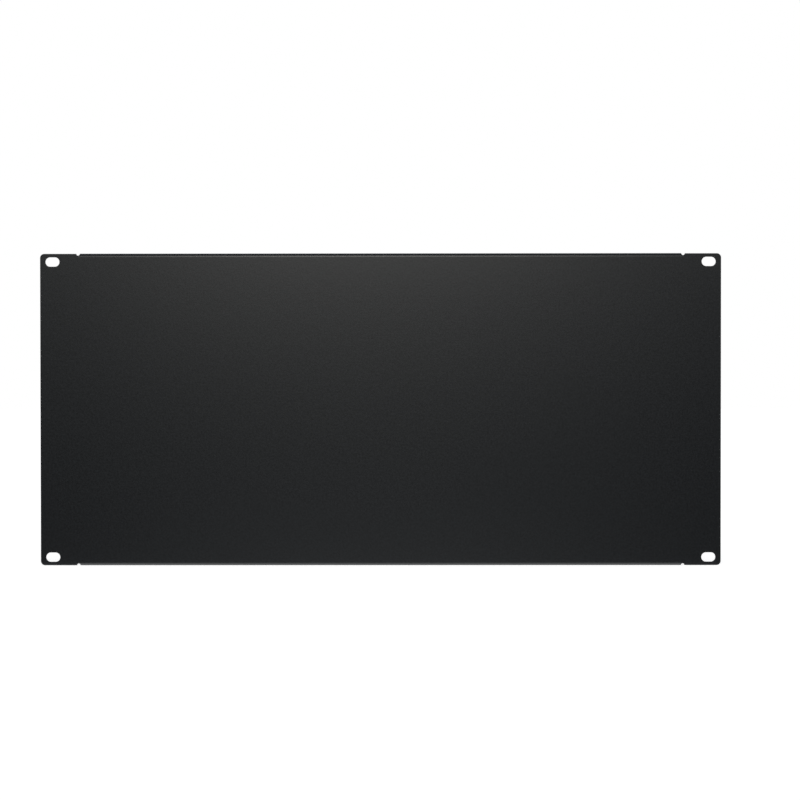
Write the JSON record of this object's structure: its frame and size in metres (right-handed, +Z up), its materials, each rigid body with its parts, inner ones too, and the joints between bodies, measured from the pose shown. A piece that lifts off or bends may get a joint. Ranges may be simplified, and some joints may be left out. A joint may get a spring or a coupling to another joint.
{
  "type": "rack blanking panel",
  "caption": "Flat rectangular steel cover for empty bays of an equipment rack, with slotted ears at the sides and folded stiffening flanges along the top and bottom.",
  "frame": {"origin": "centre of the rectangle of screw slots, on the back face of the sheet, where the ears seat against the rack rails", "axes": "+X to the right as seen from the front, -Y out of the show face towards the viewer, +Y into the rack, +Z up"},
  "size_m": [0.4826, 0.016, 0.2214],
  "materials": {
    "powder_coat": "satin black powder coat with a fine texture, over mild steel sheet"
  },
  "bodies": {
    "root": {"blanking_panel": "powder_coat"}
  },
  "joints": []
}
